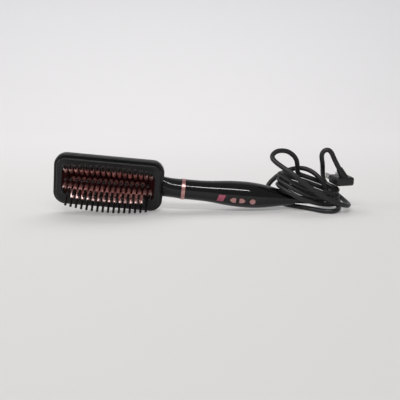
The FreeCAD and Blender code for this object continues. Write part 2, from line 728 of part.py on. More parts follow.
def arc_between(start, tangent, end):
    """Arc that leaves a point along a tangent and ends at another point."""
    chord = end - start
    half_turn = tangent.getAngle(chord)
    if half_turn < 1e-6:
        return Part.makeLine(start, end)
    along = Vector(chord).normalize()
    side = (tangent - along * tangent.dot(along)).normalize()
    middle = (start + end) * 0.5 + side * (chord.Length / 2 * math.tan(half_turn / 2))
    return Part.Arc(start, middle, end).toShape()


def biarc(start, start_tangent, end, end_tangent):
    """Two arcs, tangent to each other, between two points with their directions."""
    chord = end - start
    total = start_tangent + end_tangent
    bend = 2 * (1 - start_tangent.dot(end_tangent))
    if bend < 1e-9:
        reach = chord.dot(chord) / (4 * chord.dot(end_tangent))
    else:
        cross = chord.dot(total)
        reach = (-cross + math.sqrt(cross ** 2 + bend * chord.dot(chord))) / bend
    meet = (start + end + (start_tangent - end_tangent) * reach) * 0.5
    second = arc_between(end, end_tangent * -1, meet)
    return [arc_between(start, start_tangent, meet), second]


# How far along the shorter run next to a corner its bend reaches
BEND_SHARE = 0.45


def bent_run(corners):
    """Straight runs through corners, each corner rounded by an arc tangent to both."""
    edges = []
    here = corners[0]
    for before, corner, after in zip(corners, corners[1:], corners[2:]):
        incoming, outgoing = corner - before, after - corner
        trim = min(incoming.Length, outgoing.Length) * BEND_SHARE
        heading = Vector(incoming).normalize()
        first = corner - heading * trim
        last = corner + Vector(outgoing).normalize() * trim
        edges.append(Part.makeLine(here, first))
        edges.append(arc_between(first, heading, last))
        here = last
    edges.append(Part.makeLine(here, corners[-1]))
    return edges


def tube(name, edges, start, heading, radius):
    """Sweeps a round section along edges."""
    path = Part.Wire(Part.__sortEdges__(edges))
    section = Part.Wire([Part.makeCircle(radius, start, heading)])
    sweep = Part.BRepOffsetAPI.MakePipeShell(path)
    sweep.add(section)
    sweep.build()
    sweep.makeSolid()
    print(name, "length", round(path.Length, 1), "volume share",
          round(sweep.shape().Volume / (path.Length * math.pi * radius ** 2), 4))
    return formed(name, sweep.shape())


def heater_wires():
    """Two supply wires from the heaters, through the neck and the coupler, to the board."""
    wires = []
    heater_end = value(f"{HEAD_MIDDLE} + heater_spacing/2 + heater_length/2")
    clamp_end = value(f"{HEAD_MIDDLE} + clamp_length/2 + 2*wire_radius")
    heater_y = value(f"({PLATE_BACK} + {CLAMP_FRONT})/2")
    board_y = value(f"({BOARD_BACK} - board_front)/2")
    for k, side in enumerate((-1, 1)):
        wide = value("head_lift") + side * value("wire_spread")
        near = side * value("wire_spread") * WIRE_NEAR_SHARE
        corners = [
            *(head_turn.multVec(spot) for spot in (
                Vector(heater_end, heater_y, wide),
                Vector(clamp_end, heater_y, wide),
                Vector(value(f"{HEAD_RIGHT} - 2*ledge_wall - wire_radius"), value("neck_passage_back/4"), near))),
            Vector(value(f"{RING_RIGHT} + 2*coupler_handle_reach"), value("neck_passage_back/4"), near),
            Vector(value("board_start - 10*wire_radius"), board_y, near),
            Vector(value("board_start"), board_y, near),
        ]
        wires.append(tube(f"heater_wire_{k}", bent_run(corners), corners[0], Vector(1, 0, 0),
                          value("wire_radius")))
    node("heater_wires", *wires)


WIRE_NEAR_SHARE = 0.5
# The head stands turned back on the handle, so that its teeth point more level than its buttons
HEAD_NODES = ("head_", "heater_p", "heater_c", "teeth_", "cool_", "guard_", "ptc_", "clamp_", "mica_", "thermal_",
              "temperature_")
head_turn = Placement(Vector(), Rotation(Vector(1, 0, 0), -value("head_turn_back")))

head_back_shell()
head_front_frame()
heater_plate()
tooth_rows()
heater_stack()
ring_and_coupler()
handle()
control_board()
exit_point = swivel_boot()
heater_wires()
doc.recompute()

# Lay the brush on the floor: lean its face down, slope its tail down, then set it on Z = 0
tilt = Placement(Vector(), Rotation(Vector(0, 1, 0), value("slope_angle")).multiply(
    Rotation(Vector(1, 0, 0), value("lean_angle"))))
reach = FreeCAD.BoundBox()
for label, group in nodes.items():
    turned = group.Shape.copy()
    turned.Placement = tilt.multiply(head_turn) if label.startswith(HEAD_NODES) else tilt
    reach.add(turned.optimalBoundingBox(False))
lay = Placement(Vector(-reach.Center.x, -reach.Center.y, -reach.ZMin), tilt.Rotation)
for label, group in nodes.items():
    group.Placement = lay.multiply(head_turn) if label.startswith(HEAD_NODES) else lay
doc.recompute()
cord_exit = lay.multVec(exit_point)
cord_heading = lay.Rotation.multVec(Vector(1, 0, 0))
print("exit", cord_exit, "along", cord_heading)
print("size", reach.XLength, reach.YLength, reach.ZLength)

# The bundled cord, drawn where it lies: shares of the bundle unit right of and behind the exit, and up
LEAD_SHARES = [
    (1.55, 0.3, 2.3),
    (0.35, 0.75, 4.0),
    (-0.9, 1.75, 4.65),
    (-2.3, 2.35, 4.5),
    (-3.9, 2.32, 3.85),
    (-5.45, 2.22, 2.4),
    (-5.5, 1.72, 0.9),
    (-3.3, 1.35, 0.29),
    (-1.8, 0.0, 0.29),
    (-0.3, -1.5, 0.29),
    (0.6, -2.58, 0.29),
    (2.0, -2.58, 0.29),
]
LOOP_SHARES = [
    (-1.95, 1.1, 4.95),
    (-2.2, 0.75, 6.0),
    (-3.3, 0.45, 6.9),
    (-4.7, 0.15, 6.95),
    (-5.4, -0.35, 6.3),
    (-4.85, -1.0, 5.65),
    (-3.24, -1.95, 4.65),
    (-1.75, -2.38, 3.4),
    (0.78, -2.88, 1.75),
    (2.6, -2.78, 1.02),
    (3.75, -1.58, 0.7),
    (3.8, 0.62, 0.8),
    (3.0, 2.35, 1.5),
    (1.65, 2.6, 2.8),
    (1.2, 1.55, 4.15),
    (0.9, 0.5, 5.25),
    (0.6, 0.14, 6.25),
    (0.75, 0.1, 6.8),
    (1.2, 0.06, 7.05),
    (1.7, 0.02, 6.85),
    (2.18, -0.12, 5.7),
    (2.66, -0.26, 4.85),
]
HANK_QUARTER_COUNT = 13


def bundle_point(shares):
    """Place in the bundle, from its shares of the bundle unit."""
    unit = value("bundle_unit")
    across, behind, up = shares
    return Vector(cord_exit.x + across * unit, cord_exit.y + behind * unit, up * unit)


def hank_point(quarter):
    """Place and direction after this many quarter turns from the hank's right end."""
    slope = math.radians(value("hank_slope"))
    along = Vector(math.cos(slope), 0, -math.sin(slope))
    back = Vector(0, 1, 0)
    angle = math.pi / 2 * quarter
    half_length = value("hank_half_length") - value("hank_shrink") * quarter / 4
    half_width = value("hank_half_width") - value("hank_narrow") * quarter / 4
    middle = Vector(cord_exit.x - value("hank_left_of_exit"), cord_exit.y, value("hank_height"))
    rise = Vector(0, 0, value("hank_pitch") * quarter / 4)
    place = middle + along * (half_length * math.cos(angle)) + rise
    place += back * (half_width * math.sin(angle))
    climb = Vector(0, 0, value("hank_pitch") / (2 * math.pi))
    heading = along * (-half_length * math.sin(angle))
    heading += back * (half_width * math.cos(angle)) + climb
    return place, heading.normalize()


def least_gap(edges, skip):
    """Least distance between parts of one path that are further apart along it than a length."""
    path = Part.Wire(Part.__sortEdges__(edges))
    count = int(path.Length / GAP_STEP)
    spots = path.discretize(count)
    away = int(skip / GAP_STEP)
    return min((spots[k] - spots[n]).Length for k in range(count) for n in range(k + away, count))


GAP_STEP = 1.0


def cord_bundle():
    """The cord in three stretches, and the plug it ends in."""
    radius = value("cord_diameter/2")
    start = cord_exit + cord_heading * value("cord_start_gap")
    lead = [start, cord_exit + cord_heading * value("lead_run")] + [bundle_point(s) for s in LEAD_SHARES]
    lead_edges = bent_run(lead)
    place, heading = lead[-1], (lead[-1] - lead[-2]).normalize()
    hank_start, hank_heading = place, heading
    hank_edges = []
    for quarter in range(HANK_QUARTER_COUNT + 1):
        after, turned = hank_point(quarter)
        hank_edges += biarc(place, heading, after, turned)
        place, heading = after, turned
    loops = [place, place + heading * value("loops_run")] + [bundle_point(s) for s in LOOP_SHARES]
    loop_edges = bent_run(loops)
    node("cord_lead", tube("lead", lead_edges, start, cord_heading, radius))
    node("cord_hank", tube("hank", hank_edges, hank_start, hank_heading, radius))
    node("cord_loops", tube("loops", loop_edges, loops[0], heading, radius))
    every = lead_edges + hank_edges + loop_edges
    print("least gap of the cord to itself", least_gap(every, value("8*cord_diameter")) - 2 * radius)
    print("least bend radius", min(e.Curve.Radius for e in every if hasattr(e.Curve, "Radius")))
    print("cord length", sum(edge.Length for edge in every))
    plug(loops[-1], (loops[-1] - loops[-2]).normalize())


def plug(place, heading):
    """Flat mains plug with its boot on top and two blades at its far end."""
    foot = place + heading * value("plug_boot_length")
    length, width, thickness = value("plug_length"), value("plug_width"), value("plug_thickness")
    low = Vector(value("plug_boot_inset") - length, -width / 2, -thickness)
    case = Part.makeBox(length, width, thickness, low)
    case = case.makeFillet(value("plug_round"), case.Edges)
    seat = Placement(foot, Rotation(Vector(1, 0, 0), value("plug_tilt")).multiply(
        Rotation(Vector(0, 0, 1), -value("plug_turn"))))
    case.Placement = seat
    boot_reach = value("plug_boot_length") + thickness / 2
    boot = Part.makeCone(value("plug_boot_end"), value("plug_boot_root"), boot_reach, place, heading)
    node("plug_body", formed("plug_moulding", case.fuse(boot).removeSplitter()))
    blades = []
    for side in (-1, 1):
        across = side * value("blade_spacing/2") - value("blade_thickness/2")
        corner = Vector(low.x - value("blade_length"), across, -(thickness + value("blade_width")) / 2)
        blade = Part.makeBox(value("blade_length"), value("blade_thickness"), value("blade_width"), corner)
        blade.Placement = seat
        blades.append(blade)
    node("plug_blades", formed("blades", Part.makeCompound(blades)))


cord_bundle()
doc.recompute()

# Check everything, then write each sub-part
for item in doc.Objects:
    if "Invalid" in item.State or "Error" in item.State:
        raise RuntimeError(f"{item.Name} did not compute: {item.State}")
os.makedirs("parts", exist_ok=True)
for label, group in nodes.items():
    shape = group.Shape
    if shape.isNull() or not shape.isValid() or not shape.Solids:
        raise RuntimeError(f"{label} is not a valid solid")
    shape.exportStep(f"parts/{label}.step")
    print(label, len(shape.Solids), round(shape.Volume, 1))
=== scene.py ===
"""Studio scene of the heated styling brush.

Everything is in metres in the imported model's frame: +X runs from the head to the cord, the teeth point to -Y and
the floor is at Z = 0. The brush's own frame has X along the handle from the trim ring, -Y out of the teeth and Z
across the paddle; LAY puts it on the floor.
"""
import math

import bpy
from mathutils import Euler, Matrix, Vector


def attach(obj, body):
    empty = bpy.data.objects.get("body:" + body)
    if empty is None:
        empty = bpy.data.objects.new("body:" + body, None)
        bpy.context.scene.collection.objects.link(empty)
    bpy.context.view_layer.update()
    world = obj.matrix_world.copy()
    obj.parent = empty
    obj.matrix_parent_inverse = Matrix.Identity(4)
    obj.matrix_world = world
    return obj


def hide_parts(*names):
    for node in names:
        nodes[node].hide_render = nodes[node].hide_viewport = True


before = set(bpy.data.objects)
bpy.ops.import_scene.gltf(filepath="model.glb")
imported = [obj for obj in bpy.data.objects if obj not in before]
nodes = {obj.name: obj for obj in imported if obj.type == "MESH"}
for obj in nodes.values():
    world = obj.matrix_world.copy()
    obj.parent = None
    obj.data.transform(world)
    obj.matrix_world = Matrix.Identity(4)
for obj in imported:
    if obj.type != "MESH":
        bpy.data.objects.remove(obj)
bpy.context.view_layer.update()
scene = bpy.context.scene
scene.view_settings.view_transform = "Standard"

MM = 0.001
CM = 0.01
LEAN = math.radians(18.5)
SLOPE = math.radians(5.8)
HEAD_BACK = math.radians(10.5)
# Where the cord leaves the boot, in the scene and in the brush's own frame
EXIT = Vector((151.8986, 9.7588, 9.8986)) * MM
BOOT_END = Vector((156.1, 0, 0)) * MM
LAY = Matrix.Translation(EXIT) @ Euler((LEAN, SLOPE, 0)).to_matrix().to_4x4() @ Matrix.Translation(-BOOT_END)
# The head stands turned back on the handle
HEAD_LAY = LAY @ Matrix.Rotation(-HEAD_BACK, 4, "X")


# Sizes in the materials, in millimetres
COLOUR_DRIFT = 18
PLASTIC_RELIEF = 0.05
METAL_RELIEF = 0.02
METAL_BUMP = 0.1
COAT_ROUGHNESS = 0.08


def linear(hexcode):
    """Linear colour of an sRGB hex value."""
    parts = [int(hexcode[k:k + 2], 16) / 255 for k in (1, 3, 5)]
    return [c / 12.92 if c <= 0.04045 else ((c + 0.055) / 1.055) ** 2.4 for c in parts] + [1.0]


def add(tree, kind, links=None, values=None, **settings):
    """Adds a node: settings are its properties, values its sockets, links what feeds its sockets."""
    item = tree.nodes.new(kind)
    for key, setting in settings.items():
        setattr(item, key, setting)
    for key, number in (values or {}).items():
        item.inputs[key].default_value = number
    for key, source in (links or {}).items():
        tree.links.new(source, item.inputs[key])
    return item


def surface(name):
    """A new material with its tree, its Principled shader and Object coordinates in millimetres."""
    material = bpy.data.materials.new(name)
    material.use_nodes = True
    tree = material.node_tree
    shader = tree.nodes["Principled BSDF"]
    place = add(tree, "ShaderNodeTexCoord").outputs["Object"]
    return material, tree, shader, place


def moulded(name, dark, light, roughness, rough_spread, grain_mm, grain_height, coat=0.0, ior=1.5):
    """Moulded plastic: colour drifts a little over centimetres, and the tool's grain shows in gloss and bump."""
    material, tree, shader, place = surface(name)
    drift = add(tree, "ShaderNodeTexNoise", {"Vector": place}, {"Scale": 1 / (COLOUR_DRIFT * MM), "Detail": 2.0})
    tint = add(tree, "ShaderNodeMix", {"Factor": drift.outputs["Fac"]}, data_type="RGBA")
    tint.inputs["A"].default_value = linear(dark)
    tint.inputs["B"].default_value = linear(light)
    grain = add(tree, "ShaderNodeTexNoise", {"Vector": place},
                {"Scale": 1 / (grain_mm * MM), "Detail": 3.0, "Roughness": 0.6})
    gloss = add(tree, "ShaderNodeMapRange", {"Value": grain.outputs["Fac"]},
                {"To Min": roughness - rough_spread, "To Max": roughness + rough_spread})
    bump = add(tree, "ShaderNodeBump", {"Height": grain.outputs["Fac"]},
               {"Strength": grain_height, "Distance": PLASTIC_RELIEF * MM})
    tree.links.new(tint.outputs["Result"], shader.inputs["Base Color"])
    tree.links.new(gloss.outputs["Result"], shader.inputs["Roughness"])
    tree.links.new(bump.outputs["Normal"], shader.inputs["Normal"])
    shader.inputs["IOR"].default_value = ior
    shader.inputs["Coat Weight"].default_value = coat
    shader.inputs["Coat Roughness"].default_value = COAT_ROUGHNESS
    return material


def metal(name, dark, light, roughness, rough_spread, grain_mm, stretch=(1, 1, 1)):
    """Coated or plain metal: fine uneven gloss, drawn out along the way it was worked."""
    material, tree, shader, place = surface(name)
    run = add(tree, "ShaderNodeMapping", {"Vector": place})
    run.inputs["Scale"].default_value = stretch
    grain = add(tree, "ShaderNodeTexNoise", {"Vector": run.outputs["Vector"]},
                {"Scale": 1 / (grain_mm * MM), "Detail": 3.0})
    tint = add(tree, "ShaderNodeMix", {"Factor": grain.outputs["Fac"]}, data_type="RGBA")
    tint.inputs["A"].default_value = linear(dark)
    tint.inputs["B"].default_value = linear(light)
    gloss = add(tree, "ShaderNodeMapRange", {"Value": grain.outputs["Fac"]},
                {"To Min": roughness - rough_spread, "To Max": roughness + rough_spread})
    bump = add(tree, "ShaderNodeBump", {"Height": grain.outputs["Fac"]},
               {"Strength": METAL_BUMP, "Distance": METAL_RELIEF * MM})
    tree.links.new(tint.outputs["Result"], shader.inputs["Base Color"])
    tree.links.new(gloss.outputs["Result"], shader.inputs["Roughness"])
    tree.links.new(bump.outputs["Normal"], shader.inputs["Normal"])
    shader.inputs["Metallic"].default_value = 1.0
    return material


def polished_neck(material, start, end, roughness):
    """Lets the tool's grain run out to a polish between two places along X, in millimetres."""
    tree = material.node_tree
    shader = tree.nodes["Principled BSDF"]
    grained = shader.inputs["Roughness"].links[0].from_socket
    place = add(tree, "ShaderNodeTexCoord").outputs["Object"]
    along = add(tree, "ShaderNodeSeparateXYZ", {"Vector": place}).outputs["X"]
    share = add(tree, "ShaderNodeMapRange", {"Value": along}, {"From Min": start * MM, "From Max": end * MM})
    mix = add(tree, "ShaderNodeMix", {"Factor": share.outputs["Result"], "A": grained}, {"B": roughness})
    tree.links.new(mix.outputs["Result"], shader.inputs["Roughness"])


# Satin ABS with a spark-eroded grain: charcoal, broad soft highlights
head_abs = moulded("head_satin_abs", "#0f0f10", "#161617", 0.4, 0.05, 0.5, 0.15, ior=1.42)
polished_neck(head_abs, start=-30, end=-25, roughness=0.1)
# Polished ABS: nearly black, mirror-like highlights with a faint flow unevenness
handle_abs = moulded("handle_polished_abs", "#050506", "#0a0a0b", 0.08, 0.02, 6.0, 0.02, ior=1.46)
# Heat-proof nylon of the tips: black, slightly waxy
tip_nylon = moulded("tip_nylon", "#050505", "#0a0a0a", 0.42, 0.05, 0.4, 0.1, ior=1.4)
# PVC cord sheath: matt charcoal with a soft extruded grain
cord_pvc = moulded("cord_pvc", "#121214", "#1b1b1d", 0.45, 0.08, 0.7, 0.35)
# Plug moulding: the same PVC, a little greyer and coarser
plug_pvc = moulded("plug_pvc", "#0e0e0f", "#161617", 0.4, 0.06, 0.5, 0.3)
# Tinted acrylic window over the display
window_acrylic = moulded("window_tinted_acrylic", "#983f58", "#ac4f69", 0.16, 0.02, 4.0, 0.02, coat=0.4, ior=1.49)
# Vacuum-coated rose gold: satin on ring and keys, glossier on the teeth, which mirror each other. The keys' copy is
# darker than the ring's as painted shade, and the teeth's copy is paler as painted light
rose_gold = metal("rose_gold_satin", "#c79390", "#d5a29e", 0.32, 0.05, 0.8)
# A darker copy of the ring's rose gold: painted shade on the keys
key_gold_painted_shade = metal("rose_gold_keys_painted_shade", "#bc8e8c", "#c99b98", 0.36, 0.05, 0.8)
# A paler copy of the rose gold: painted light on the teeth
tooth_gold_painted_light = metal("rose_gold_teeth_painted_light", "#f0ccc8", "#f8d8d4", 0.28, 0.05, 0.6)
# Coated aluminium of the heater plate: a rose coating brushed across, darkened nearly to black as painted shade
# between the teeth
# Rose tint of the coating, with painted shade making it nearly black
plate_gold_painted_shade = metal("plate_rose_painted_shade", "#220e0e", "#2d1413", 0.38, 0.06, 1.2, (1, 6, 1))
# Inner metals and mouldings, seen only when the brush is opened
aluminium = metal("heater_aluminium", "#b4b4b6", "#c6c6c8", 0.35, 0.08, 1.5, (1, 8, 1))
steel = metal("pressed_steel", "#8f9092", "#a5a6a8", 0.3, 0.06, 1.0)
nickel = metal("blade_nickel_plate", "#8d8b86", "#a09e98", 0.28, 0.05, 1.0, (1, 6, 6))
mica = moulded("pressed_mica", "#9a8460", "#b8a27a", 0.5, 0.1, 3.0, 0.2)
solder_mask = moulded("board_solder_mask", "#0f3d1e", "#165029", 0.3, 0.05, 4.0, 0.05)
inner_black = moulded("inner_phenolic", "#1a1a1a", "#222222", 0.5, 0.06, 0.8, 0.1)
silicone = moulded("wire_silicone", "#7a1612", "#8f1d18", 0.45, 0.06, 1.0, 0.1)

FINISHES = {
    head_abs: ["head_back_shell", "head_front_frame"],
    handle_abs: ["handle_front_shell", "handle_rear_shell"],
    plate_gold_painted_shade: ["heater_plate"],
    rose_gold: ["trim_ring"],
    key_gold_painted_shade: ["button_minus", "button_plus", "button_power"],
    window_acrylic: ["display_window"],
    cord_pvc: ["swivel_boot"],
    plug_pvc: ["plug_body"],
    nickel: ["plug_blades"],
    aluminium: ["ptc_heaters"],
    steel: ["heater_clamp", "clamp_screws", "board_screws"],
    mica: ["mica_insulator"],
    solder_mask: ["control_board"],
    inner_black: ["thermal_fuse", "temperature_sensor", "neck_coupler", "tact_switches", "display_module"],
    silicone: ["heater_wires"],
}
for finish, names in FINISHES.items():
    for name in names:
        mesh = nodes[name].data
        mesh.materials.clear()
        mesh.materials.append(finish)


# The cord's corners in centimetres: right of the exit, behind it, and up from the floor
LEAD = [(1.55, 0.3, 2.3), (0.35, 0.75, 4.0), (-0.9, 1.75, 4.65), (-2.3, 2.35, 4.5), (-3.9, 2.32, 3.85),
        (-5.45, 2.22, 2.4), (-5.5, 1.72, 0.9), (-3.3, 1.35, 0.29), (-1.8, 0.0, 0.29), (-0.3, -1.5, 0.29),
        (0.6, -2.58, 0.29), (2.0, -2.58, 0.29)]
LOOPS = [(-1.95, 1.1, 4.95), (-2.2, 0.75, 6.0), (-3.3, 0.45, 6.9), (-4.7, 0.15, 6.95), (-5.4, -0.35, 6.3),
         (-4.85, -1.0, 5.65), (-3.24, -1.95, 4.65), (-1.75, -2.38, 3.4), (0.78, -2.88, 1.75),
         (2.6, -2.78, 1.02), (3.75, -1.58, 0.7), (3.8, 0.62, 0.8), (3.0, 2.35, 1.5), (1.65, 2.6, 2.8),
         (1.2, 1.55, 4.15), (0.9, 0.5, 5.25), (0.6, 0.14, 6.25), (0.75, 0.1, 6.8), (1.2, 0.06, 7.05),
         (1.7, 0.02, 6.85), (2.18, -0.12, 5.7), (2.66, -0.26, 4.85)]
HANK_MIDDLE = (-0.8, 0.0, 1.56)
HANK_HALF_LENGTH = 4.0
HANK_HALF_WIDTH = 1.8
HANK_SLOPE = math.radians(18)
HANK_PITCH = 0.64
HANK_SHRINK = 0.1
HANK_NARROW = 0.08
# The front strands hang lower than the rest, over the boot
HANK_DROOP = 0.85
DROOP_POWER = 1.5
HANK_TURNS = 3.25
POINTS_PER_TURN = 12
HANK_RUN_OUT = 1.1
# Millimetres: the cord's first point past the boot, the end of its straight start, and its radius
CORD_START = 0.3
CORD_STRAIGHT = 12.6
CORD_RADIUS = 2.8
CORD_BEVEL_STEPS = 5
CORD_STEPS = 6


def hank_points():
    """Turns of the hank from its right end, rising and drawing in turn by turn."""
    along = Vector((math.cos(HANK_SLOPE), 0, -math.sin(HANK_SLOPE)))
    for k in range(int(HANK_TURNS * POINTS_PER_TURN) + 1):
        turn = k / POINTS_PER_TURN
        angle = 2 * math.pi * turn
        spot = Vector(HANK_MIDDLE) + along * (math.cos(angle) * (HANK_HALF_LENGTH - HANK_SHRINK * turn))
        spot += Vector((0, math.sin(angle) * (HANK_HALF_WIDTH - HANK_NARROW * turn), HANK_PITCH * turn))
        spot.z -= HANK_DROOP * max(0, -math.sin(angle)) ** DROOP_POWER
        yield tuple(spot)
    yield tuple(spot - along * HANK_RUN_OUT)


def cord():
    """One round cord from the boot, round the tail and up through the two loops to the plug."""
    heading = (LAY.to_3x3() @ Vector((1, 0, 0))).normalized()
    below_exit = Vector((EXIT.x, EXIT.y, 0))
    corners = [below_exit + Vector(spot) * CM for spot in (*LEAD, *hank_points(), *LOOPS)]
    route = [EXIT + heading * CORD_START * MM, EXIT + heading * CORD_STRAIGHT * MM, *corners]
    curve = bpy.data.curves.new("cord", "CURVE")
    curve.dimensions = "3D"
    curve.bevel_depth = CORD_RADIUS * MM
    curve.bevel_resolution = CORD_BEVEL_STEPS
    curve.resolution_u = CORD_STEPS
    curve.use_fill_caps = True
    line = curve.splines.new("NURBS")
    line.points.add(len(route) - 1)
    for point, place in zip(line.points, route):
        point.co = (*place, 1.0)
    line.order_u = 3
    line.use_endpoint_u = True
    curve.materials.append(cord_pvc)
    piece = bpy.data.objects.new("cord", curve)
    scene.collection.objects.link(piece)
    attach(piece, "brush")
    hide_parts("cord_lead", "cord_hank", "cord_loops")


cord()

# Sizes of the tooth field, in millimetres in the brush's own frame
HEAD_MIDDLE = -85.5
HEAD_LIFT = 0.6
PLATE_FRONT = -8.4
PITCH = 6.0
ROW_PITCH = 22.6 / 3
HALF_ROW = 48.0
TOOTH_LENGTH = 12.5
SINK = 1.6
FAN = math.radians(36)
TIP_LENGTH = 11.9
FALL = 2.75
# Teeth in each row from the top, and whether plain pins stand at its ends
ROWS = [(17, False), (14, True), (17, False), (14, True)]
MIDDLE_ROW = (len(ROWS) - 1) / 2
PIN_SPAN = 15
TOOTH_SIDES = 14
EYE_SIDES = 10
TIP_SIDES = 12
BALL_RINGS = 8
# The balls are turned a little, so that their edges miss the stems' edges
BALL_TURN = math.radians(11)
SHARP_ANGLE = 0.7


def plain_mesh(name, tree, inputs, material):
    """Runs a node tree on an empty mesh and keeps the result as a plain mesh object."""
    piece = bpy.data.objects.new(name, bpy.data.meshes.new(name))
    scene.collection.objects.link(piece)
    modifier = piece.modifiers.new("build", "NODES")
    modifier.node_group = tree
    given = {**inputs, "Material": material}
    for item in tree.interface.items_tree:
        if item.item_type == "SOCKET" and item.in_out == "INPUT" and item.name in given:
            modifier[item.identifier] = given[item.name]
    shown = piece.evaluated_get(bpy.context.evaluated_depsgraph_get())
    made = bpy.data.meshes.new_from_object(shown)
    piece.modifiers.clear()
    piece.data = made
    return piece


def new_tree(name, numbers):
    """An empty geometry tree with named number inputs and a material input."""
    tree = bpy.data.node_groups.new(name, "GeometryNodeTree")
    tree.interface.new_socket("Geometry", in_out="OUTPUT", socket_type="NodeSocketGeometry")
    for label, number in numbers.items():
        kind = "NodeSocketInt" if isinstance(number, int) else "NodeSocketFloat"
        tree.interface.new_socket(label, in_out="INPUT", socket_type=kind).default_value = number
    tree.interface.new_socket("Material", in_out="INPUT", socket_type="NodeSocketMaterial")
    return tree, add(tree, "NodeGroupInput").outputs


def sum_of(tree, operation, first, second):
    """The result of one sum on two sockets or numbers."""
    item = add(tree, "ShaderNodeMath", operation=operation)
    for socket, part in zip(item.inputs, (first, second)):
        if isinstance(part, (int, float)):
            socket.default_value = part
        else:
            tree.links.new(part, socket)
    return item.outputs["Value"]


def row_points(tree, given):
    """Points along a row, and each one's drop as a share of the crown: nought in the middle, one at the end."""
    span = sum_of(tree, "MULTIPLY", sum_of(tree, "SUBTRACT", given["Count"], 1.0), given["Pitch"])
    first = add(tree, "ShaderNodeCombineXYZ", {"X": sum_of(tree, "MULTIPLY", span, -0.5)})
    step = add(tree, "ShaderNodeCombineXYZ", {"X": given["Pitch"]})
    line = add(tree, "GeometryNodeMeshLine", {"Count": given["Count"], "Start Location": first.outputs["Vector"],
                                              "Offset": step.outputs["Vector"]})
    spot = add(tree, "GeometryNodeInputPosition").outputs["Position"]
    along = add(tree, "ShaderNodeSeparateXYZ", {"Vector": spot}).outputs["X"]
    share = sum_of(tree, "DIVIDE", along, given["Half row"])
    return line.outputs["Mesh"], sum_of(tree, "MULTIPLY", sum_of(tree, "MULTIPLY", share, share), given["Fall"])


def smooth_sides(tree, mesh):
    """Shades faces smooth but keeps edges sharper than about 40 degrees."""
    smooth = add(tree, "GeometryNodeSetShadeSmooth", {"Geometry": mesh})
    angle = add(tree, "GeometryNodeInputMeshEdgeAngle").outputs["Unsigned Angle"]
    sharp = sum_of(tree, "GREATER_THAN", angle, SHARP_ANGLE)
    keep = add(tree, "GeometryNodeSetShadeSmooth", {"Geometry": smooth.outputs["Geometry"], "Selection": sharp},
               {"Shade Smooth": False}, domain="EDGE")
    return keep.outputs["Geometry"]


def close_tree(tree, given, geometry):
    """Turns the row out of the plate by its fan, lays it with the head, then realises it with its material."""
    row = add(tree, "ShaderNodeCombineXYZ", {"Z": given["Row height"]},
              {"X": HEAD_MIDDLE * MM, "Y": PLATE_FRONT * MM})
    turn = add(tree, "ShaderNodeCombineXYZ", {"X": sum_of(tree, "ADD", given["Fan"], math.pi / 2)})
    turned = add(tree, "FunctionNodeEulerToRotation", {"Euler": turn.outputs["Vector"]})
    out = add(tree, "GeometryNodeTransform", {"Geometry": geometry, "Translation": row.outputs["Vector"],
                                              "Rotation": turned.outputs["Rotation"]})
    laid = add(tree, "GeometryNodeTransform", {"Geometry": out.outputs["Geometry"]},
               {"Rotation": HEAD_LAY.to_euler(), "Translation": HEAD_LAY.to_translation()})
    real = add(tree, "GeometryNodeRealizeInstances", {"Geometry": laid.outputs["Geometry"]})
    done = add(tree, "GeometryNodeSetMaterial", {"Geometry": real.outputs["Geometry"], "Material": given["Material"]})
    add(tree, "NodeGroupOutput", {"Geometry": done.outputs["Geometry"]})


